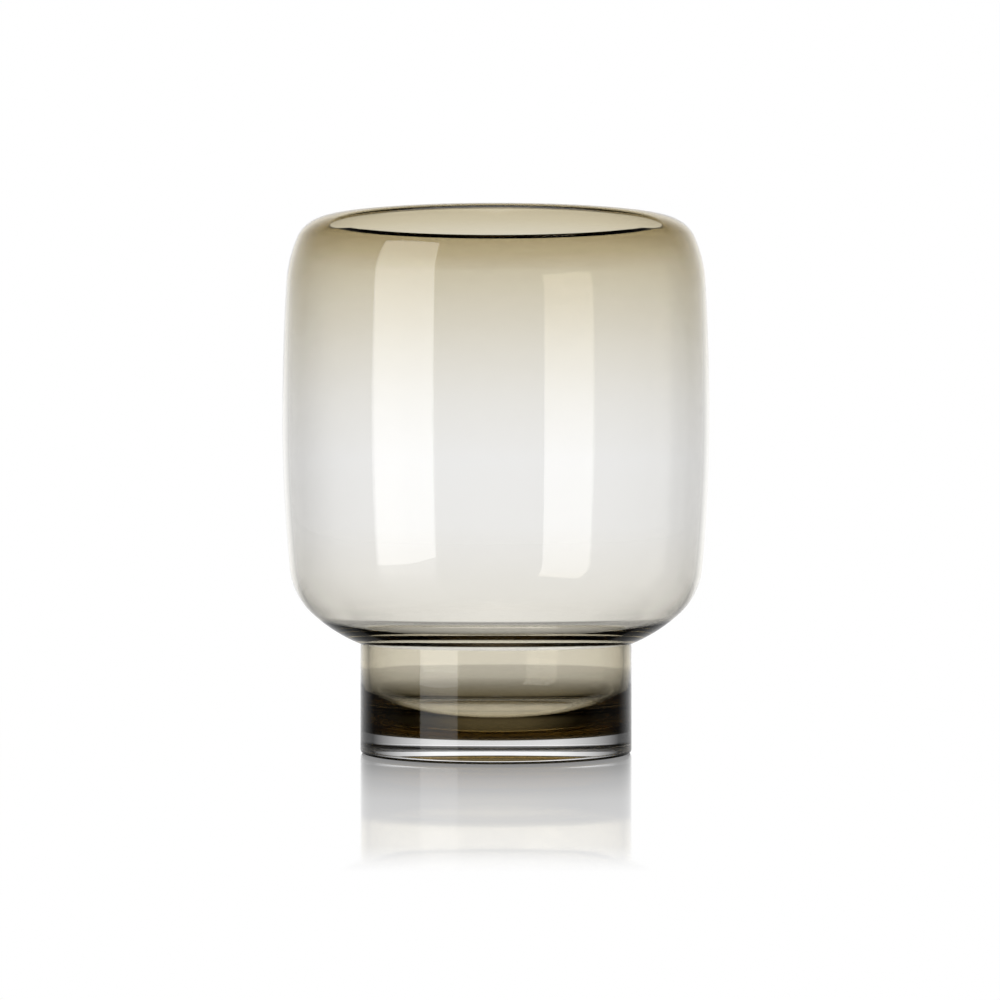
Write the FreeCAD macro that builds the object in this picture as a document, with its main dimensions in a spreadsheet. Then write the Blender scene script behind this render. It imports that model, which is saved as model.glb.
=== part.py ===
"""A footed vase of blown glass: a clear casing over a smoke-coloured lining, on a heavy clear base.

Lengths are millimetres and angles are degrees. The origin is the centre of the standing plane, and
+Z runs up the axis of the vase. Every outline lies in the XZ plane, where X is the radius, and is
turned about Z. The outline of a surface is a run of tangent arcs, so the glass flows as it does
when it is blown.
"""

import FreeCAD, Part
import math
import os
import re

import Sketcher

SIZES = {
    "overall_height": 200.0,
    # the bowl, outside: tangent arcs above and below the belly, and how far each has turned
    "belly_radius": 80.0,
    "belly_height": 126.0,
    "upper_barrel_radius": 833.0,
    "upper_barrel_turn": 3.44,
    "shoulder_radius": 50.0,
    "shoulder_turn": 23.0,
    "lower_barrel_radius": 585.0,
    "lower_barrel_turn": 5.6,
    "heel_radius": 25.9,
    "heel_turn": 47.0,
    "underside_radius": 58.7,
    # the thickness of the glass at the belly and at the lip, and how much of the belly is casing
    "bowl_wall": 2.4,
    "belly_casing": 2.0,
    "lip_wall": 1.6,
    "thinning_turn": 1.8,
    # the throat between bowl and foot, inside
    "inner_heel_radius": 25.6,
    "inner_heel_turn": 42.3,
    "inner_underside_radius": 30.7,
    "throat_slope": 75.5,
    "throat_radius": 4.0,
    # the foot, and the well inside it
    "foot_radius": 50.8,
    "foot_wall": 3.2,
    "foot_casing": 1.6,
    "well_bend_height": 33.2,
    "well_bend_radius": 105.0,
    "well_bend_turn": 4.9,
    "well_corner_radius": 12.6,
    "well_corner_turn": 28.7,
    "well_floor_height": 9.7,
    # the base, with a flat ring to stand on round a shallow kick
    "base_height": 8.6,
    "base_edge_radius": 1.5,
    "kick_radius": 36.0,
    "kick_depth": 1.6,
}

LEFT, RIGHT = 1, -1
LIP_RADIUS = "lip_wall / 2"


class Outline:
    """A run of corners in the XZ plane, whose places are expression texts on the sheet of sizes.

    A corner is (radius, height, bend, side). The bend is the radius of the arc that leads to the
    corner, or None where a straight edge does, and the side is where that arc bulges, to the left
    or the right of the way along the run.
    """

    def __init__(self, radius, height):
        self.corners = [(radius, height, None, LEFT)]

    @property
    def end(self):
        return self.corners[-1][:2]

    def line(self, radius, height):
        self.corners.append((radius, height, None, LEFT))
        return self

    def arc(self, radius, height, bend, side):
        self.corners.append((radius, height, bend, side))
        return self

    def rise(self, bend, tilt, next_tilt):
        """An arc up an outward-bulging wall, while its tilt from upright grows inwards."""
        radius, height = self.end
        return self.arc(
            f"{radius} - ({bend}) * (cos({tilt}) - cos({next_tilt}))",
            f"{height} + ({bend}) * (sin({next_tilt}) - sin({tilt}))",
            bend,
            RIGHT,
        )

    def sink(self, bend, tilt, next_tilt):
        """The same, down the wall."""
        radius, height = self.end
        return self.arc(
            f"{radius} - ({bend}) * (cos({tilt}) - cos({next_tilt}))",
            f"{height} - ({bend}) * (sin({next_tilt}) - sin({tilt}))",
            bend,
            LEFT,
        )

    def then(self, other):
        """This run, with a straight edge to the start of another run, and that run."""
        self.corners += other.corners
        return self

    def backwards(self):
        """The same run from its end to its start."""
        run = Outline(*self.end)
        for here, before in zip(self.corners[:0:-1], self.corners[-2::-1]):
            run.corners.append((*before[:2], here[2], -here[3]))
        return run


def upper_bowl(depth):
    """The bowl from its belly up to the crest of its lip, on a surface this deep in the glass."""
    run = Outline(f"belly_radius - {depth}", "belly_height")
    run.rise(f"upper_barrel_radius - {depth}", "0", "upper_barrel_turn")
    run.rise(f"shoulder_radius - {depth}", "upper_barrel_turn", "shoulder_turn")
    crest_bend = f"(overall_height - {depth} - ({run.end[1]})) / (1 - sin(shoulder_turn))"
    return run.rise(crest_bend, "shoulder_turn", "90")


def thinning_bowl(lip_depth, belly_depth):
    """The bowl from near its belly up to the crest, on a surface that lies deeper at the belly.

    It keeps one depth over the shoulder. Below, a slack arc that turns by thinning_turn brings it
    to the depth at the belly.
    """
    shoulder, crest = upper_bowl(lip_depth).corners[-2:]
    bend = f"(shoulder_radius - {lip_depth})"
    radius = f"{shoulder[0]} + {bend} * (cos(thinning_turn) - cos(shoulder_turn))"
    height = f"{shoulder[1]} - {bend} * (sin(shoulder_turn) - sin(thinning_turn))"
    belly_radius = f"belly_radius - {belly_depth}"
    slack = f"({belly_radius} - ({radius})) / (1 - cos(thinning_turn))"
    run = Outline(belly_radius, f"{height} - {slack} * sin(thinning_turn)")
    run.arc(radius, height, slack, RIGHT)
    run.arc(*shoulder[:2], bend, RIGHT)
    run.corners.append(crest)
    return run


def upper_seam():
    """The seam between casing and lining from near the belly up to the lip."""
    return thinning_bowl(LIP_RADIUS, "belly_casing")


def lower_bowl():
    """The outside of the bowl from its belly down to a sharp crease, where it meets the foot."""
    run = Outline("belly_radius", "belly_height")
    run.sink("lower_barrel_radius", "0", "lower_barrel_turn")
    run.sink("heel_radius", "lower_barrel_turn", "heel_turn")
    middle = f"({run.end[0]} - underside_radius * cos(heel_turn))"
    crease_drop = f"sqrt(underside_radius^2 - (foot_radius - {middle})^2)"
    crease_height = f"{run.end[1]} + underside_radius * sin(heel_turn) - {crease_drop}"
    return run.arc("foot_radius", crease_height, "underside_radius", LEFT)


def throat(bowl_cover, foot_cover):
    """From the belly down through the throat to an upright well wall, under a cover of lining.

    The covers are how thick the lining is over this surface, in the bowl and in the foot.
    """
    run = Outline(f"belly_radius - bowl_wall + {bowl_cover}", "belly_height")
    run.sink(f"lower_barrel_radius - bowl_wall + {bowl_cover}", "0", "lower_barrel_turn")
    run.sink(f"inner_heel_radius + {bowl_cover}", "lower_barrel_turn", "inner_heel_turn")
    run.sink(f"inner_underside_radius + {bowl_cover}", "inner_heel_turn", "throat_slope")
    well_radius, bend = f"(foot_radius - foot_wall + {foot_cover})", f"(throat_radius - {foot_cover})"
    edge_radius = f"{well_radius} + {bend} * (1 - cos(throat_slope))"
    fall = f"(({run.end[0]} - ({edge_radius})) * cos(throat_slope) / sin(throat_slope))"
    edge_height = f"{run.end[1]} - {fall}"
    run.line(edge_radius, edge_height)
    return run.arc(well_radius, f"{edge_height} - {bend} * sin(throat_slope)", bend, RIGHT)


def lower_seam():
    """The seam between casing and lining from the belly down to the base."""
    run = throat("(bowl_wall - belly_casing)", "(foot_wall - foot_casing)")
    return run.line(run.end[0], "base_height")


def inside():
    """The inner surface from the belly down through the throat and the well to the axis."""
    run = throat("0", "0")
    run.line(run.end[0], "well_bend_height")
    run.sink("well_bend_radius", "0", "well_bend_turn")
    run.sink("well_corner_radius", "well_bend_turn", "well_corner_turn")
    floor_bend = f"({run.end[1]} - well_floor_height) / (1 - sin(well_corner_turn))"
    run.sink(floor_bend, "well_corner_turn", "90")
    return run.line("0", "well_floor_height")


def casing_outline():
    """The outer surface from base to lip, and back down the seam."""
    run = Outline("foot_radius", "base_height")
    run.then(lower_bowl().backwards())
    run.corners += upper_bowl("0").corners[1:]
    crest = run.end[0]
    run.arc(f"{crest} - {LIP_RADIUS}", f"overall_height - {LIP_RADIUS}", LIP_RADIUS, RIGHT)
    run.then(upper_seam().backwards())
    return run.then(lower_seam())


def lining_outline():
    """The seam from the axis up to the lip, and back down the inner surface."""
    run = Outline("0", "base_height")
    run.then(lower_seam().backwards())
    run.then(upper_seam())
    crest = run.end[0]
    run.line(f"{crest} - {LIP_RADIUS}", f"overall_height - {LIP_RADIUS}")
    run.arc(crest, "overall_height - lip_wall", LIP_RADIUS, RIGHT)
    run.corners += thinning_bowl("lip_wall", "bowl_wall").backwards().corners[1:]
    return run.then(inside())


def base_outline():
    """A disc with a rounded lower edge, and a shallow dome cut out of its underside."""
    run = Outline("0", "kick_depth")
    run.arc("kick_radius", "0", "(kick_radius^2 + kick_depth^2) / (2 * kick_depth)", LEFT)
    run.line("foot_radius - base_edge_radius", "0")
    run.arc("foot_radius", "base_edge_radius", "base_edge_radius", RIGHT)
    run.line("foot_radius", "base_height")
    return run.line("0", "base_height")


def make_sheet(doc):
    """The driving dimensions, one to a row: its name, and its value under that name."""
    sheet = doc.addObject("Spreadsheet::Sheet", "sizes")
    for row, (name, value) in enumerate(SIZES.items(), start=1):
        sheet.set(f"A{row}", name)
        sheet.set(f"B{row}", str(value))
        sheet.setAlias(f"B{row}", name)
    doc.recompute()
    return sheet


def on_sheet(text):
    """An expression text with the sheet's name before the name of each size."""
    return re.sub("[a-z_]+", lambda word: f"sizes.{word[0]}" if word[0] in SIZES else word[0], text)


def arc_through(start, end, bend, side):
    """The arc of this radius between two points, which bulges to this side of the way between them."""
    way = end - start
    left = FreeCAD.Vector(-way.y, way.x, 0).normalize()
    middle = (start + end) / 2
    to_centre = math.sqrt(bend**2 - (way.Length / 2) ** 2)
    top = middle + left * side * (bend - to_centre)
    return Part.Arc(start, top, end)


def point_number(sketch, edge, place):
    """1 if the edge starts at the place, and 2 if it ends there."""
    return 1 if sketch.getPoint(edge, 1).distanceToPoint(place) < 1e-4 else 2


def fix_place(sketch, edge, number, place, corner):
    """Holds one end of an edge at its corner's radius and height."""
    for axis, (kind, value, text) in enumerate(
        (("DistanceX", place.x, corner[0]), ("DistanceY", place.y, corner[1]))
    ):
        if text == "0":
            axis_line = -2 if axis == 0 else -1
            sketch.addConstraint(Sketcher.Constraint("PointOnObject", edge, number, axis_line))
            continue
        held = sketch.addConstraint(Sketcher.Constraint(kind, -1, 1, edge, number, value))
        sketch.setExpression(f"Constraints[{held}]", on_sheet(text))


def draw(sketch, sheet, outline):
    """Draws a closed outline, with every corner and every arc's radius bound to the sheet."""
    corners = outline.corners
    places = [
        FreeCAD.Vector(*(sheet.evalExpression(on_sheet(text)) for text in corner[:2]), 0)
        for corner in corners
    ]
    edges = []
    for number, (_, _, bend, side) in enumerate(corners[1:] + corners[:1], start=1):
        start, end = places[number - 1], places[number % len(places)]
        if bend is None:
            edges.append(sketch.addGeometry(Part.LineSegment(start, end)))
            continue
        radius = sheet.evalExpression(on_sheet(bend))
        edge = sketch.addGeometry(arc_through(start, end, radius, side))
        held = sketch.addConstraint(Sketcher.Constraint("Radius", edge, radius))
        sketch.setExpression(f"Constraints[{held}]", on_sheet(bend))
        edges.append(edge)
    for number, (place, corner) in enumerate(zip(places, corners)):
        before, after = edges[number - 1], edges[number]
        ends = [(edge, point_number(sketch, edge, place)) for edge in (before, after)]
        sketch.addConstraint(Sketcher.Constraint("Coincident", *ends[0], *ends[1]))
        fix_place(sketch, *ends[1], place, corner)


def turned_body(doc, sheet, name, outline):
    """A body turned about Z from an outline in its own XZ plane."""
    body = doc.addObject("PartDesign::Body", name)
    body.Label = name
    sketch = body.newObject("Sketcher::SketchObject", f"{name}_outline")
    plane = next(f for f in body.Origin.OriginFeatures if f.Role == "XZ_Plane")
    sketch.AttachmentSupport = (plane, [""])
    sketch.MapMode = "FlatFace"
    doc.recompute()
    draw(sketch, sheet, outline)
    doc.recompute()
    turn = body.newObject("PartDesign::Revolution", f"{name}_turned")
    turn.Profile = sketch
    turn.ReferenceAxis = (sketch, ["V_Axis"])
    turn.Angle = 360.0
    body.Tip = turn
    body.Placement = FreeCAD.Placement()
    doc.recompute()
    return body


def check(doc, bodies):
    """Stops if anything failed to recompute, or a sub-part has no sound solid."""
    for item in doc.Objects:
        bad = {"Invalid", "Error"} & set(item.State)
        if bad:
            raise RuntimeError(f"{item.Label}: {bad}")
    for body in bodies:
        if body.Shape.isNull() or not body.Shape.isValid() or len(body.Shape.Solids) != 1:
            raise RuntimeError(f"{body.Label}: no single valid solid")


def main():
    doc = FreeCAD.newDocument("footed_vase")
    sheet = make_sheet(doc)
    outlines = {
        "clear_casing": casing_outline(),
        "smoke_lining": lining_outline(),
        "clear_base": base_outline(),
    }
    bodies = [turned_body(doc, sheet, name, outline) for name, outline in outlines.items()]
    check(doc, bodies)
    os.makedirs("parts", exist_ok=True)
    for body in bodies:
        body.Shape.exportStep(f"parts/{body.Label}.step")
        box = body.Shape.BoundBox
        print(f"{body.Label}: {body.Shape.Volume / 1000:.1f} cm3, z {box.ZMin:.2f} to {box.ZMax:.2f}")


main()
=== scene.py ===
# %% [markdown]
# # A footed vase in smoke and clear glass
#
# The vase is blown from two layers: clear glass outside and brown smoke glass inside, melted
# onto a thick clear foot disc. The smoke is dark at the mouth and in the foot and fades out
# around the belly. This notebook loads the CAD model as a fixed frame, builds the three glass
# pieces as surfaces of revolution, gives them glass with real refraction, and sets them on a
# glossy white table in front of a lit white wall.

import math

import bpy
import numpy as np
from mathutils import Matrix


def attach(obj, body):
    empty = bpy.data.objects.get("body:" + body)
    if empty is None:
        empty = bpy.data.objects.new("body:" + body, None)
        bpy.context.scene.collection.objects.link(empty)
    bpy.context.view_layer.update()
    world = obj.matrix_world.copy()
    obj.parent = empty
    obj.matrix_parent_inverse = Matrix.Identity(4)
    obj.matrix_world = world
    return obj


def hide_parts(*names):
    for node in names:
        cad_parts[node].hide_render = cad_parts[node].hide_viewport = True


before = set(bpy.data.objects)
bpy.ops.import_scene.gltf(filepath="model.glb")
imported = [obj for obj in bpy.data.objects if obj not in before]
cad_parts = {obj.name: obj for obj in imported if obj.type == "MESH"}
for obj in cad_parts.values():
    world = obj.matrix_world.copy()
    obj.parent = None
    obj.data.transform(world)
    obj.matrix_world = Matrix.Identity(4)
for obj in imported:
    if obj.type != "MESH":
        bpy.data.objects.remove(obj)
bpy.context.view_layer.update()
MM = 0.001

# %% [markdown]
# ## Outlines
#
# Every piece is round, so its whole shape is one outline: radius against height. A blown wall
# is made of smooth bends that run into each other, so an outline here is a list of runs: a
# straight step to a point, or an arc that starts at the last point. An arc is given by how far
# the wall leans from upright where it starts and ends, which keeps neighbours tangent without
# any fitting by eye. All lengths are in millimetres until the mesh is made.


# %% Runs of an outline
def start_at(radius, height):
    """An outline that so far is one point."""
    return np.array([[radius, height]], float)


def step_to(outline, radius, height):
    """The outline with a straight run added, to a point given by radius and height."""
    return np.vstack([outline, [radius, height]])


def lean_in(outline, bend, lean_from, lean_to, upwards, steps):
    """The outline with an arc added, along which the wall leans further and further inwards.

    At a lean of t degrees, the radius is less than at the arc's start by
    bend * (cos(start) - cos(t)), and the height has changed by bend * (sin(t) - sin(start)).
    """
    lean = np.radians(np.linspace(lean_from, lean_to, steps + 1))
    radius = outline[-1, 0] - bend * (np.cos(lean[0]) - np.cos(lean))
    height = outline[-1, 1] + (1 if upwards else -1) * bend * (np.sin(lean) - np.sin(lean[0]))
    return np.vstack([outline, np.column_stack([radius, height])[1:]])


def arc_about(radius, height, bend, turn_from, turn_to, steps):
    """An outline along a circle about a centre: centre + bend * (cos, sin) of the turn."""
    turn = np.radians(np.linspace(turn_from, turn_to, steps + 1))
    return np.column_stack([radius + bend * np.cos(turn), height + bend * np.sin(turn)])


quarter = lean_in(start_at(10, 0), 10, 0, 90, True, 4)
print("a quarter bend of 10 mm ends at", quarter[-1].round(2))

# %% [markdown]
# ## The bowl, outside and inside
#
# The outside bends slowly over the belly and quickly over the shoulder, and turns in below to a
# crease at the foot. The inside follows it at the thickness of the wall, which is thinner at
# the lip, and runs through a narrow throat into the well. Each surface could be drawn by hand
# as a spline, but bends with a radius and a lean can be read off and checked.

# %% Outlines of the bowl
BELLY_RADIUS, BELLY_HEIGHT, TOP = 80.0, 126.0, 200.0
WALL, LIP = 2.4, 1.6  # how thick the bowl is at the belly and at the lip
SIDE_BEND, SIDE_LEAN = 833, 3.44  # a bend's radius, and the lean where it ends
SHOULDER_BEND, SHOULDER_LEAN = 50, 23
THINNING_LEAN = 1.8  # from this lean up, the inside keeps level with the shoulder
SIDE_STEPS, SHOULDER_STEPS, CREST_STEPS = 16, 14, 28


def up_to_crest(wall, bend, lean, depth):
    """The outline with the shoulder's bend from a lean on, and a last bend up to the crest."""
    wall = lean_in(wall, bend, lean, SHOULDER_LEAN, True, SHOULDER_STEPS)
    rise = TOP - depth - wall[-1, 1]
    last = rise / (1 - math.sin(math.radians(SHOULDER_LEAN)))
    return lean_in(wall, last, SHOULDER_LEAN, 90, True, CREST_STEPS)


def bowl_above(depth):
    """Outline from the belly up to the crest of the lip, at a depth below the outer skin."""
    wall = start_at(BELLY_RADIUS - depth, BELLY_HEIGHT)
    wall = lean_in(wall, SIDE_BEND - depth, 0, SIDE_LEAN, True, SIDE_STEPS)
    return up_to_crest(wall, SHOULDER_BEND - depth, SIDE_LEAN, depth)


def thinning(lip_depth, belly_depth):
    """Outline from the belly up to the lip, for a surface whose depth changes on the way up.

    It runs level with the outer skin over the shoulder, and a slack bend below brings it to its
    depth at the belly. That bend leaves upright at the belly's radius and leans by a small
    angle where it meets the shoulder's, so its radius is the distance to go / (1 - cos lean).
    """
    shoulder = bowl_above(lip_depth)[SIDE_STEPS + SHOULDER_STEPS]
    bend = SHOULDER_BEND - lip_depth
    lean, last = math.radians(THINNING_LEAN), math.radians(SHOULDER_LEAN)
    radius = shoulder[0] + bend * (math.cos(lean) - math.cos(last))
    height = shoulder[1] - bend * (math.sin(last) - math.sin(lean))
    slack = (BELLY_RADIUS - belly_depth - radius) / (1 - math.cos(lean))
    wall = start_at(BELLY_RADIUS - belly_depth, height - slack * math.sin(lean))
    wall = lean_in(wall, slack, 0, THINNING_LEAN, True, SIDE_STEPS)
    return up_to_crest(wall, bend, THINNING_LEAN, lip_depth)


print("lip crest at", bowl_above(0)[-1].round(2), "inner crest at", thinning(LIP, WALL)[-1].round(2))

# %% Outlines below the belly
FOOT_RADIUS, FOOT_WALL = 50.8, 3.2
LOWER_BEND, LOWER_LEAN = 585, 5.6
HEEL_BEND, HEEL_LEAN = 25.9, 47
UNDERSIDE_BEND = 58.7
INNER_HEEL_BEND, INNER_HEEL_LEAN = 25.6, 42.3
INNER_UNDERSIDE_BEND = 30.7
THROAT_BEND, THROAT_LEAN = 4.0, 75.5


def bowl_below():
    """Outline of the outer skin from the belly down to the crease, where it meets the foot."""
    wall = start_at(BELLY_RADIUS, BELLY_HEIGHT)
    wall = lean_in(wall, LOWER_BEND, 0, LOWER_LEAN, False, 16)
    wall = lean_in(wall, HEEL_BEND, LOWER_LEAN, HEEL_LEAN, False, 28)
    centre = wall[-1, 0] - UNDERSIDE_BEND * math.cos(math.radians(HEEL_LEAN))
    last = math.degrees(math.acos((FOOT_RADIUS - centre) / UNDERSIDE_BEND))
    return lean_in(wall, UNDERSIDE_BEND, HEEL_LEAN, last, False, 18)


def throat():
    """Outline of the inside, from the belly down to where the well's wall stands upright."""
    wall = start_at(BELLY_RADIUS - WALL, BELLY_HEIGHT)
    wall = lean_in(wall, LOWER_BEND - WALL, 0, LOWER_LEAN, False, 16)
    wall = lean_in(wall, INNER_HEEL_BEND, LOWER_LEAN, INNER_HEEL_LEAN, False, 24)
    wall = lean_in(wall, INNER_UNDERSIDE_BEND, INNER_HEEL_LEAN, THROAT_LEAN, False, 20)
    well, slope = FOOT_RADIUS - FOOT_WALL, math.radians(THROAT_LEAN)
    edge = well + THROAT_BEND * (1 - math.cos(slope))
    drop = wall[-1, 1] - (wall[-1, 0] - edge) / math.tan(slope)
    height = drop - THROAT_BEND * math.sin(slope)
    return np.vstack([wall, arc_about(well + THROAT_BEND, height, THROAT_BEND, 180 - THROAT_LEAN, 180, 14)])


print("crease at", bowl_below()[-1].round(2), "throat ends at", throat()[-1].round(2))

# %% Outline of the well
WELL_FLOOR = 9.7
WELL_BEND_HEIGHT, WELL_BEND, WELL_LEAN = 33.2, 105.0, 4.9
WELL_CORNER, WELL_CORNER_LEAN = 12.6, 28.7


def hollow():
    """Outline of the inside, from the belly through the throat to the middle of the well."""
    wall = step_to(throat(), FOOT_RADIUS - FOOT_WALL, WELL_BEND_HEIGHT)
    wall = lean_in(wall, WELL_BEND, 0, WELL_LEAN, False, 12)
    wall = lean_in(wall, WELL_CORNER, WELL_LEAN, WELL_CORNER_LEAN, False, 14)
    rise = wall[-1, 1] - WELL_FLOOR
    bend = rise / (1 - math.sin(math.radians(WELL_CORNER_LEAN)))
    wall = lean_in(wall, bend, WELL_CORNER_LEAN, 90, False, 28)
    return step_to(wall, 0, WELL_FLOOR)


print("well floor starts at", hollow()[-2].round(2))

# %% [markdown]
# ## From an outline to glass
#
# A turned surface is the outline carried once round the upright axis. The two parameters are
# the angle and the place along the outline. Points are worked out as one array, faces as
# index arithmetic on the grid, and the rows that touch the axis close with triangles, so that
# the glass has no hole at its pole. Real refraction needs a closed wall whose faces all point
# out of the glass.


# %% Turned surfaces
AROUND = 256  # points in a turn
SHARP_ANGLE = 28  # degrees between two faces above which their edge shows


def between_rows(below, above):
    """Corner numbers of the faces between two rows of a turned grid, one row for each face.

    A row is its first point's number and how many points it has: AROUND, or 1 at a pole. A face
    goes from one place of the lower row to the next place, and from there to the upper row. At
    a pole two of the four corners are the same point, and one of them is left out.
    """
    here = np.arange(AROUND)
    ahead = (here + 1) % AROUND
    (low, low_size), (high, high_size) = below, above
    corners = [low + here % low_size, low + ahead % low_size]
    corners += [high + ahead % high_size, high + here % high_size]
    if low_size == 1:
        corners = corners[1:]
    if high_size == 1:
        corners = corners[:-1]
    return np.column_stack(corners)


def turned(name, runs, materials):
    """A glass piece: runs of an outline, joined end to end and carried once round the axis.

    Each run is an outline and the number of its material. A point at angle a is at
    (radius cos a, radius sin a, height). A run's first step comes from the last run's end.
    """
    outline = np.vstack([run for run, _ in runs])
    number = np.repeat([material for _, material in runs], [len(run) for run, _ in runs])
    fresh = np.r_[True, np.linalg.norm(np.diff(outline, axis=0), axis=1) > 1e-6]
    outline, number = outline[fresh], number[fresh]
    loop = np.allclose(outline[0], outline[-1])
    if loop:
        outline = outline[:-1]
    size = np.where(outline[:, 0] < 1e-6, 1, AROUND)
    first = np.r_[0, np.cumsum(size)]
    angle = np.concatenate([2 * math.pi * np.arange(n) / n for n in size])
    radius, height = np.repeat(outline, size, axis=0).T
    points = np.column_stack([radius * np.cos(angle), radius * np.sin(angle), height]) * MM
    rows = list(zip(first, size))
    pairs = list(zip(rows, rows[1:] + (rows[:1] if loop else [])))
    faces = []
    for pair in pairs:
        faces += between_rows(*pair).tolist()
    mesh = bpy.data.meshes.new(name)
    mesh.from_pydata(points, [], faces)
    for material in materials:
        mesh.materials.append(material)
    part = np.repeat(number[1 : len(pairs) + 1], AROUND)
    if len(materials) > 1:
        mesh.polygons.foreach_set("material_index", part.astype(np.int32))
    mesh.attributes.new("melted", "FLOAT", "FACE").data.foreach_set("value", part.astype(float))
    mesh.shade_smooth()
    mesh.set_sharp_from_angle(angle=math.radians(SHARP_ANGLE))
    piece = bpy.data.objects.new(name, mesh)
    bpy.context.scene.collection.objects.link(piece)
    print(name, len(points), "points,", len(faces), "faces, wrong:", mesh.validate())
    return piece


print("faces between two rows:", between_rows((0, AROUND), (AROUND, AROUND)).shape)

# %% [markdown]
# ## Shader arithmetic
#
# A material is a small calculation. Wrapping a socket in a class with the usual operators
# lets the calculation be written as it is thought: `1 - haze * 0.5` adds its own Math nodes.


# %% A socket that can be calculated with
class Amount:
    """A number that changes over a surface, as an output of a recipe's node."""

    def __init__(self, recipe, socket):
        self.recipe, self.socket = recipe, socket

    def _math(self, operation, first, second):
        return self.recipe.node("ShaderNodeMath", {"operation": operation}, {0: first, 1: second})

    def __add__(self, other):
        return self._math("ADD", self, other)

    def __mul__(self, other):
        return self._math("MULTIPLY", self, other)

    def __sub__(self, other):
        return self._math("SUBTRACT", self, other)

    def __rsub__(self, other):
        return self._math("SUBTRACT", other, self)

    __radd__, __rmul__ = __add__, __mul__


class Recipe:
    """The nodes of one material, or of the room."""

    def __init__(self, owner):
        owner.use_nodes = True
        self.owner, self.tree = owner, owner.node_tree
        self.tree.nodes.clear()

    def node(self, kind, settings, sockets, out=0):
        """Adds a node: its settings first, then its sockets' values or links. Gives an output."""
        made = self.tree.nodes.new(kind)
        for key, value in settings.items():
            if key == "stops":
                set_stops(made.color_ramp, value)
            else:
                setattr(made, key, value)
        for key, value in sockets.items():
            if isinstance(value, Amount):
                self.tree.links.new(value.socket, made.inputs[key])
            else:
                made.inputs[key].default_value = value
        return Amount(self, made.outputs[out])

    def finish(self, surface, volume=None, output="ShaderNodeOutputMaterial"):
        """Links the finished shader, and what fills the piece, to the output."""
        end = self.tree.nodes.new(output)
        self.tree.links.new(surface.socket, end.inputs["Surface"])
        if volume:
            self.tree.links.new(volume.socket, end.inputs["Volume"])
        return self.owner


def set_stops(ramp, stops):
    """Gives a colour ramp its stops, as pairs of position and colour."""
    while len(ramp.elements) > 1:
        ramp.elements.remove(ramp.elements[-1])
    ramp.elements[0].position, ramp.elements[0].color = stops[0]
    for position, colour in stops[1:]:
        ramp.elements.new(position).color = colour


# %% [markdown]
# ## Smoke glass
#
# The smoke layer takes more blue than green and more green than red, which is what makes it
# brown. How dark it is depends only on the height, so it could be one absorbing volume of
# changing thickness, but a tint on the faces is easier to steer and does nearly all of the work
# here. A ray that crosses one wall meets the layer's fused face and its inner face, and each
# takes half of the loss.
# Low in the foot and close to its skin, painted shade darkens the tint almost to black.

# %% How dark the smoke is
# Height in millimetres, and the share of green light's logarithm that one wall takes.
SMOKE_LOSS = [
    (0.0, 0.10),
    (9.0, 0.10),
    (9.6, 0.02),
    (41.0, 0.02),
    (52.0, 0.05),
    (66.0, 0.03),
    (85.0, 0.00),
    (110.0, 0.00),
    (132.0, 0.035),
    (151.0, 0.08),
    (170.0, 0.16),
    (185.0, 0.26),
    (193.0, 0.50),
    (200.0, 0.60),
]
BY_COLOUR = (0.79, 1.0, 1.6)  # the loss of red, green and blue, as a share of green's


def smoke_stops():
    """Ramp stops over the height of the vase: the colour that a face lets through.

    A face's colour is the exponential of minus the loss, and the shader passes its root.
    """
    return [
        (height / TOP, (*[math.exp(-loss * share) for share in BY_COLOUR], 1.0))
        for height, loss in SMOKE_LOSS
    ]


print("the lip lets through", [round(share, 2) for share in smoke_stops()[-1][1][:3]])

# %% Nodes that several finishes use
RIM_SHADE_START, RIM_SHADE_FULL = 0.044, 0.049  # metres from the axis, where the painted shade at the foot's rim begins
WHITE = (1, 1, 1, 1)


def ramp(recipe, value, start, end, first, second):
    """A number that goes from the first to the second as the value goes from start to end."""
    return recipe.node("ShaderNodeMapRange", {}, {0: value, 1: start, 2: end, 3: first, 4: second})


def blend(recipe, share, first, second):
    """A number that goes from the first to the second as the share goes from 0 to 1."""
    return recipe.node("ShaderNodeMix", {"data_type": "FLOAT"}, {0: share, 2: first, 3: second})


def tinted(recipe, share, first, second):
    """A colour that goes from the first to the second as the share goes from 0 to 1."""
    return recipe.node("ShaderNodeMix", {"data_type": "RGBA"}, {0: share, 6: first, 7: second}, 2)


def flat_part(recipe, vector):
    """The vector with its height taken out."""
    return recipe.node("ShaderNodeVectorMath", {"operation": "MULTIPLY"}, {0: vector, 1: (1, 1, 0)})


def height_share(recipe):
    """The height in the vase, from 0 at the table to 1 at the crest."""
    place = recipe.node("ShaderNodeTexCoord", {}, {}, "Object")
    return recipe.node("ShaderNodeSeparateXYZ", {}, {0: place}, "Z") * (1 / (TOP * MM))


def rim_shade_share(recipe, height):
    """1 close to the foot's skin and below a height in millimetres, where shade is painted, and 0
    everywhere else.
    """
    flat = flat_part(recipe, recipe.node("ShaderNodeTexCoord", {}, {}, "Object"))
    radius = recipe.node("ShaderNodeVectorMath", {"operation": "LENGTH"}, {0: flat}, "Value")
    up = height_share(recipe) * (TOP / height)
    return ramp(recipe, radius, RIM_SHADE_START, RIM_SHADE_FULL, 0.0, 1.0) * ramp(recipe, up, 0.9, 1.05, 1.0, 0.0)


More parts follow.
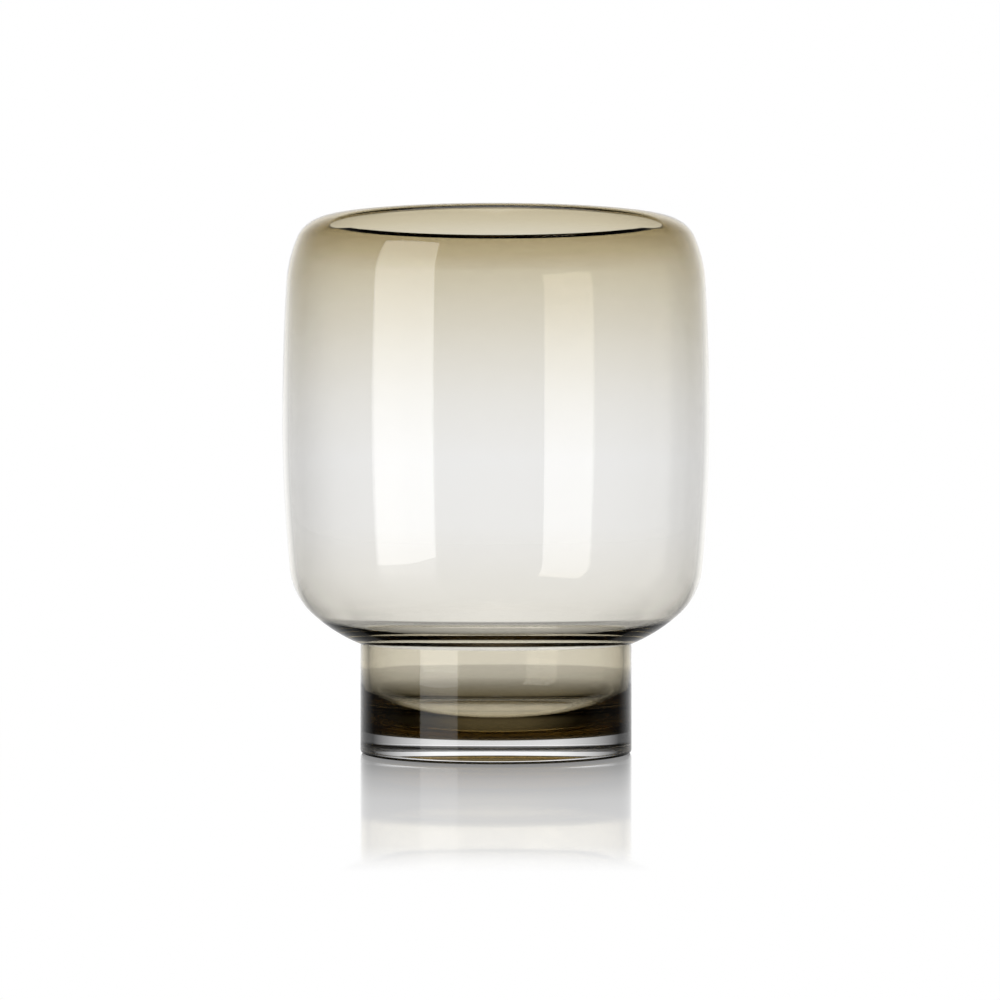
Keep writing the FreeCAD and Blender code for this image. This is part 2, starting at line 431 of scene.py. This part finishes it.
def blown_ripple(recipe):
    """A normal with the faint long waves that blowing and turning leave in a glass skin."""
    place = recipe.node("ShaderNodeTexCoord", {}, {}, "Object")
    drawn = recipe.node("ShaderNodeMapping", {}, {"Vector": place, "Scale": (1, 1, 0.25)})
    noise = {"Vector": drawn, "Scale": 30.0, "Detail": 1.0}
    waves = recipe.node("ShaderNodeTexNoise", {"noise_dimensions": "3D"}, noise)
    return recipe.node("ShaderNodeBump", {}, {"Strength": 0.1, "Distance": 0.0002, "Height": waves})


# The rim's finish is painted shade: a dark tint close to the foot's skin.
print("the rim's finish starts", round(RIM_SHADE_START / MM), "mm from the axis")

# %% [markdown]
# ## Four finishes
#
# Clear glass needs only its refraction and a faint ripple. Under the base it is ground dull, so
# that it stands flat, and grinding leaves pits. Smoke glass has air on one side and clear glass
# on the other. Where two layers are melted together, light doesn't bend, so those faces have
# an index of 1 on the smoke's side and are plainly transparent on the clear side. Leaving the
# melted faces out would open the pieces, and the smoke would no longer have an inside.

# %% Clear and ground glass
GLASS_IOR = 1.5
GROUND_UP = 0.5  # how high the grinding reaches, in millimetres
# Painted shade: a near-black tint on the skin's lowest edge, where it turns under.
EDGE_SHADE = (0.02, 0.02, 0.02, 1)
EDGE_SHADE_UP = 1.1


def glass(recipe, colour, roughness=0.0):
    """Refracting glass with an air face."""
    sockets = {"Base Color": colour, "Roughness": roughness, "IOR": GLASS_IOR}
    sockets |= {"Transmission Weight": 1.0, "Normal": blown_ripple(recipe)}
    return recipe.node("ShaderNodeBsdfPrincipled", {}, sockets)


def clear_glass(name):
    """Colourless glass."""
    recipe = Recipe(bpy.data.materials.new(name))
    return recipe.finish(glass(recipe, WHITE))


def ground_glass(name):
    """Clear glass that is ground dull underneath, up to a height of GROUND_UP millimetres.

    The dullness is 1 below and 0 above, times 0.25 and half of a fine noise, for the pits. The
    lowest edge of the skin is painted dark where it turns under: painted shade.
    """
    recipe = Recipe(bpy.data.materials.new(name))
    place = recipe.node("ShaderNodeTexCoord", {}, {}, "Object")
    pits = recipe.node("ShaderNodeTexNoise", {}, {"Vector": place, "Scale": 1800.0, "Detail": 2.0})
    ground = ramp(recipe, height_share(recipe) * (TOP / GROUND_UP), 0.6, 1.0, 1.0, 0.0)
    # The lowest edge of the skin gets painted shade.
    edge = tinted(recipe, rim_shade_share(recipe, EDGE_SHADE_UP), WHITE, EDGE_SHADE)
    return recipe.finish(glass(recipe, edge, ground * (pits * 0.5 + 0.25)))


CLEAR = clear_glass("clear_glass")
GROUND = ground_glass("ground_glass")
print("finishes:", CLEAR.name, GROUND.name)

# %% Smoke glass and the melted faces
SMOKE_DENSITY = 200.0
SMOKE_COLOUR = (0.605, 0.5, 0.2, 1)
# Painted shade: a near-black tint in the smoke at the foot's lower corner, close to its skin.
CORNER_SHADE, CORNER_SHADE_UP = (0.02, 0.015, 0.01, 1), 11.0


def smoke_glass(name):
    """Smoke glass, as an air face, or as the face where the two layers are melted together."""
    recipe = Recipe(bpy.data.materials.new(name))
    tint = recipe.node("ShaderNodeValToRGB", {"stops": smoke_stops()}, {0: height_share(recipe)})
    # Painted shade darkens the tint almost to black near the foot's skin, low down.
    tint = tinted(recipe, rim_shade_share(recipe, CORNER_SHADE_UP), tint, CORNER_SHADE)
    unbent = {"Base Color": tint, "Roughness": 0.0, "IOR": 1.0, "Transmission Weight": 1.0}
    melted = recipe.node("ShaderNodeBsdfPrincipled", {}, unbent)
    which = recipe.node("ShaderNodeAttribute", {"attribute_name": "melted"}, {}, "Fac")
    both = recipe.node("ShaderNodeMixShader", {}, {0: which, 1: glass(recipe, tint), 2: melted})
    smoke = {"Color": SMOKE_COLOUR, "Density": SMOKE_DENSITY}
    return recipe.finish(both, recipe.node("ShaderNodeVolumeAbsorption", {}, smoke))


def no_face(name):
    """The clear side of a face where two pieces are melted together: light goes straight on."""
    recipe = Recipe(bpy.data.materials.new(name))
    return recipe.finish(recipe.node("ShaderNodeBsdfTransparent", {}, {"Color": WHITE}))


SMOKE = smoke_glass("smoke_glass")
NO_FACE = no_face("melted_together")
print("materials:", [material.name for material in bpy.data.materials])

# %% [markdown]
# ## Where clear and smoke glass meet
#
# The casing is the clear outer layer, from the crest of the lip down to the clear disc. The
# lining is the smoke layer inside it, which also closes the bottom of the well. The base is
# the clear disc. They touch along faces that the light doesn't notice, kept a fiftieth of a
# millimetre apart, because two faces in exactly one place flicker.

# %% The melted skin
SEAM, GAP = 8.6, 0.02  # the height where smoke meets the clear disc, and the play between faces
AIR, MELTED = 0, 1  # the two kinds of face, as numbers of a piece's materials
SMOKE_HEIGHTS = [41.7, 45.5, BELLY_HEIGHT]
SMOKE_THIN = 0.12  # thickness of the smoke at the belly
SMOKE_THICKNESS = [FOOT_WALL / 2, 0.3, SMOKE_THIN]


def behind(outline, thickness):
    """The outline moved into the glass by a thickness given at each of its points.

    A point moves along the normal, which is the outline's own direction turned by 90 degrees.
    """
    way = np.gradient(outline, axis=0)
    way /= np.linalg.norm(way, axis=1)[:, None]
    return outline + thickness[:, None] * np.column_stack([-way[:, 1], way[:, 0]])


def melted_skin(gap):
    """Outline from the foot up to the lip where the clear and the smoke layer meet.

    Down from the belly it keeps behind the inside, as far as the smoke is thick: SMOKE_THIN at
    the belly and half of the wall in the foot. Up from the belly, it goes from there to the
    middle of the lip, by a share of the wall that falls evenly.
    """
    inner = throat()
    smoke = np.interp(inner[:, 1], SMOKE_HEIGHTS, SMOKE_THICKNESS)
    outside, inside = bowl_above(gap), thinning(LIP + gap, WALL + gap)
    share = np.linspace(1 - SMOKE_THIN / WALL, 1 / 2, len(outside))[:, None]
    return np.vstack([behind(inner, smoke - gap)[::-1], (outside + share * (inside - outside))[1:]])


print("the skin runs from", melted_skin(0)[0].round(2), "to", melted_skin(0)[-1].round(2))

# %% [markdown]
# ## The three pieces
#
# Each piece is its outline, run by run, with the kind of face of each run. The lip is half a
# circle shared by the two layers: the casing has its outer quarter and the lining its inner
# one. The disc is hollowed a little underneath, so that it stands on a ring and doesn't rock.

# %% Casing and lining
skin = np.vstack([bowl_below()[::-1], bowl_above(0)[1:]])
lip_radius, lip_height = bowl_above(0)[-1, 0], TOP - LIP / 2
inside = np.vstack([thinning(LIP, WALL)[::-1], hollow()])
foot_seam = FOOT_RADIUS - FOOT_WALL / 2
casing = turned(
    "casing",
    [
        (start_at(FOOT_RADIUS, SEAM + GAP), AIR),
        (skin, AIR),
        (arc_about(lip_radius, lip_height, LIP / 2, 90, 180, 10), AIR),
        (melted_skin(0)[::-1], MELTED),
        (start_at(foot_seam, SEAM + GAP), MELTED),
        (start_at(FOOT_RADIUS, SEAM + GAP), MELTED),
    ],
    [CLEAR, NO_FACE],
)
lining = turned(
    "lining",
    [
        (start_at(0, SEAM + GAP), MELTED),
        (start_at(foot_seam - GAP, SEAM + GAP), MELTED),
        (melted_skin(GAP), MELTED),
        (arc_about(lip_radius, lip_height - GAP, LIP / 2, 180, 181, 1), MELTED),
        (arc_about(lip_radius, lip_height, LIP / 2, 184, 270, 10), AIR),
        (inside, AIR),
    ],
    [SMOKE],
)

# %% Base
EDGE, KICK_RADIUS, KICK = 1.5, 36.0, 1.6
kick_bend = (KICK_RADIUS**2 + KICK**2) / (2 * KICK)
kick_turn = math.degrees(math.asin(KICK_RADIUS / kick_bend))
base = turned(
    "base",
    [
        (arc_about(0, KICK - kick_bend, kick_bend, 90, 90 - kick_turn, 24), AIR),
        (arc_about(FOOT_RADIUS - EDGE, EDGE, EDGE, -90, 0, 12), AIR),
        (start_at(FOOT_RADIUS, SEAM), AIR),
        (start_at(0, SEAM), MELTED),
    ],
    [GROUND, NO_FACE],
)

# %% Each piece on the frame
for piece, node, slot in (
    (casing, "clear_casing", "clear_glass"),
    (lining, "smoke_lining", "smoke_glass"),
    (base, "clear_base", "base_glass"),
):
    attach(piece, "root")
    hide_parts(node)
    print(piece.name, "stands for", node)

# %% [markdown]
# ## Table
#
# Clear glass shows only what stands round it. A table and a wall that are white all round
# would leave it without edges, so a studio sets dark cards just outside the view. Here the
# camera sees a white, softly polished table, and light on its way through the glass meets
# painted shade near the foot, and a painted contact shadow under the foot's edge. Real cards
# would do the same, but they would show in other views.


# %% Boards and their finishes
def lamp_skin(name, brightness):
    """A plain surface that gives off white light."""
    recipe = Recipe(bpy.data.materials.new(name))
    return recipe.finish(recipe.node("ShaderNodeEmission", {}, {"Color": WHITE, "Strength": brightness}))


def board(name, centre, half_width, half_height, material):
    """A flat board from its middle and its two half sides as vectors, in metres."""
    centre, half_width, half_height = map(np.array, (centre, half_width, half_height))
    signs = ((-1, -1), (1, -1), (1, 1), (-1, 1))
    mesh = bpy.data.meshes.new(name)
    mesh.from_pydata([centre + a * half_width + b * half_height for a, b in signs], [], [[0, 1, 2, 3]])
    mesh.materials.append(material)
    made = bpy.data.objects.new(name, mesh)
    bpy.context.scene.collection.objects.link(made)
    print(name, "corners in metres:", [list(corner.co.to_tuple(3)) for corner in mesh.vertices])
    return made


# %% How light the room is from a place
def grey_stops(pairs):
    """Ramp stops from pairs of a position and how light the grey is there."""
    return [(position, (grey, grey, grey, 1)) for position, grey in pairs]


SIDE_STOPS = grey_stops([(0.0, 1), (0.30, 1), (0.52, 0.62), (0.80, 0.05)])


def side_light(recipe, place):
    """How well the room is lit where a place lies, from straight behind the vase to its sides."""
    unit = recipe.node("ShaderNodeVectorMath", {"operation": "NORMALIZE"}, {0: flat_part(recipe, place)})
    side = recipe.node("ShaderNodeSeparateXYZ", {}, {0: unit}, "X")
    off = recipe.node("ShaderNodeMath", {"operation": "ABSOLUTE"}, {0: side})
    return recipe.node("ShaderNodeValToRGB", {"stops": SIDE_STOPS}, {0: off})


def mirrored(recipe):
    """1 for light that has been reflected on its way, and 0 for light that only went through."""
    count = recipe.node("ShaderNodeLightPath", {}, {}, "Glossy Depth")
    return recipe.node("ShaderNodeMath", {"operation": "GREATER_THAN"}, {0: count, 1: 0.5})


print("the room at the sides is", SIDE_STOPS[-1][1][0], "as light as behind the vase")

# %% Table
# Both lists go by the distance from the axis, in metres.
POLISH_STOPS = grey_stops([(0.05, 0.75), (0.105, 0.56), (0.17, 0.41), (0.29, 0.32), (0.345, 0)])
# Painted shade on the table near the foot, for light that went through the glass.
NEAR_SHADE_GREY = (0.21, 0.22, 0.22, 1)
SHADE_STOPS = [
    (0.0, NEAR_SHADE_GREY),
    (0.046, NEAR_SHADE_GREY),
    (0.049, (0, 0, 0, 1)),  # painted contact shadow: a dark ring right under the foot's edge
    (0.0515, (0, 0, 0, 1)),
    (0.054, NEAR_SHADE_GREY),
    (0.40, NEAR_SHADE_GREY),
    (0.42, WHITE),
]
TABLE_HALF, TABLE_DOWN = 4, 0.00005


def table_skin(name):
    """White and softly polished to the camera, with painted shade near the foot for light in the glass."""
    recipe = Recipe(bpy.data.materials.new(name))
    place = recipe.node("ShaderNodeTexCoord", {}, {}, "Object")
    along = recipe.node("ShaderNodeSeparateXYZ", {}, {0: place}, "Y")
    away = recipe.node("ShaderNodeVectorMath", {"operation": "LENGTH"}, {0: place}, "Value")
    white = recipe.node("ShaderNodeEmission", {}, {"Color": WHITE, "Strength": 1.0})
    black = recipe.node("ShaderNodeEmission", {}, {"Color": (0, 0, 0, 1), "Strength": 1.0})
    polish = recipe.node("ShaderNodeValToRGB", {"stops": POLISH_STOPS}, {0: away})
    sheen = recipe.node("ShaderNodeBsdfGlossy", {}, {"Color": WHITE, "Roughness": 0.03})
    shown = recipe.node("ShaderNodeMixShader", {}, {0: polish, 1: white, 2: sheen})
    shade = recipe.node("ShaderNodeValToRGB", {"stops": SHADE_STOPS}, {0: away})
    shade = shade * side_light(recipe, place)
    straight = blend(recipe, ramp(recipe, along, -0.05, 0.05, 0.0, 1.0), 1.0, shade)
    bounced = shade * ramp(recipe, along, -0.2, -0.05, 0.03, 1.0)
    level = blend(recipe, mirrored(recipe), straight, bounced)
    dim = recipe.node("ShaderNodeMixShader", {}, {0: level, 1: black, 2: white})
    clean = recipe.node("ShaderNodeBsdfGlossy", {}, {"Color": WHITE, "Roughness": 0.0})
    mirror = recipe.node("ShaderNodeFresnel", {}, {"IOR": GLASS_IOR})
    through = recipe.node("ShaderNodeMixShader", {}, {0: mirror, 1: dim, 2: clean})
    seen = recipe.node("ShaderNodeLightPath", {}, {}, "Is Camera Ray")
    return recipe.finish(recipe.node("ShaderNodeMixShader", {}, {0: seen, 1: through, 2: shown}))


sides = (TABLE_HALF, 0, 0), (0, TABLE_HALF, 0)
board("table", (0, 0, -TABLE_DOWN), *sides, table_skin("white_table"))

# %% [markdown]
# ## Light
#
# A tall soft light stands at the front left and draws the two bright bars on the bowl: one
# from the near wall and one from the far wall. The room is a lit wall up to a height, darkness
# over it, and light again overhead. It is painted by direction from the vase, which costs no
# geometry, and it stays where it is when the camera moves.

# %% Soft light at the front left
SOFTBOX_PLACE, SOFTBOX_TURN, SOFTBOX_WIDTH, SOFTBOX_TALL = (-0.323, -0.304), 47, 0.26, 0.42
SOFTBOX_BRIGHTNESS = 2.1
turn = math.radians(SOFTBOX_TURN)
softbox = board(
    "softbox",
    (*SOFTBOX_PLACE, SOFTBOX_TALL / 2),
    (SOFTBOX_WIDTH / 2 * math.cos(turn), -SOFTBOX_WIDTH / 2 * math.sin(turn), 0),
    (0, 0, SOFTBOX_TALL / 2),
    lamp_skin("softbox_cloth", SOFTBOX_BRIGHTNESS),
)
softbox.visible_camera = False

# %% The room
WALL_UP, LID_DOWN = 33, 52  # degrees over the horizon where the wall ends and the lid starts
LID, FADE = 0.8, 0.02  # how light the lid is, and half the width of an edge between two lights
walls = Recipe(bpy.data.worlds.new("room"))
toward = walls.node("ShaderNodeTexCoord", {}, {}, "Generated")
ahead = walls.node("ShaderNodeSeparateXYZ", {}, {0: toward}, "Y")
up = walls.node("ShaderNodeSeparateXYZ", {}, {0: toward}, "Z")
wall_top, lid_edge = (math.sin(math.radians(angle)) for angle in (WALL_UP, LID_DOWN))
wall = ramp(walls, up, wall_top - FADE, wall_top + FADE, 1.0, 0.0)
lit = wall + ramp(walls, up, lid_edge - FADE, lid_edge + FADE, 0.0, LID)
lit = lit * side_light(walls, toward)
straight = blend(walls, ramp(walls, ahead, -0.1, 0.1, 0.0, 1.0), 1.0, lit)
bounced = lit * ramp(walls, ahead, -0.15, 0.05, 0.0, 1.0)
level = blend(walls, mirrored(walls), straight, bounced)
seen = walls.node("ShaderNodeLightPath", {}, {}, "Is Camera Ray")
white = walls.node("ShaderNodeBackground", {}, {"Color": WHITE, "Strength": 1.0})
black = walls.node("ShaderNodeBackground", {}, {"Color": (0, 0, 0, 1), "Strength": 1.0})
glow = walls.node("ShaderNodeMixShader", {}, {0: blend(walls, seen, level, 1.0), 1: black, 2: white})
bpy.context.scene.world = walls.finish(glow, output="ShaderNodeOutputWorld")
print("lit up to", WALL_UP, "degrees and again from", LID_DOWN, "in", bpy.context.scene.world.name)

# %% [markdown]
# ## Camera
#
# The camera looks level at the middle of the vase from about a metre away, through a long lens
# that keeps the sides upright. A small shift frames the vase without tilting the camera.

# %% Camera
DISTANCE, EYE_HEIGHT, LENS = 1.105, 0.0995, 106
camera = bpy.data.objects.new("camera", bpy.data.cameras.new("camera"))
bpy.context.scene.collection.objects.link(camera)
bpy.context.scene.camera = camera
camera.location = (0, -DISTANCE, EYE_HEIGHT)
camera.rotation_euler = (math.radians(90), 0, 0)
camera.data.sensor_width = 36
camera.data.lens = LENS
camera.data.shift_x = 0.004
camera.data.shift_y = -0.013
print("the camera sees", round(DISTANCE * camera.data.sensor_width / LENS, 3), "m across at the vase")

# %% [markdown]
# ## Light paths
#
# A ray can cross a dozen glass faces before it leaves the vase. With the usual limits it would
# stop inside and leave black patches, so the limits are raised.

# %% Light paths through many glass faces
BOUNCES, GLOSSY_BOUNCES = 40, 24
scene = bpy.context.scene
scene.view_settings.view_transform = "Standard"
scene.cycles.max_bounces = BOUNCES
scene.cycles.transmission_bounces = BOUNCES
scene.cycles.glossy_bounces = GLOSSY_BOUNCES
scene.cycles.transparent_max_bounces = BOUNCES
scene.cycles.use_denoising = True
print("bounces:", scene.cycles.max_bounces)
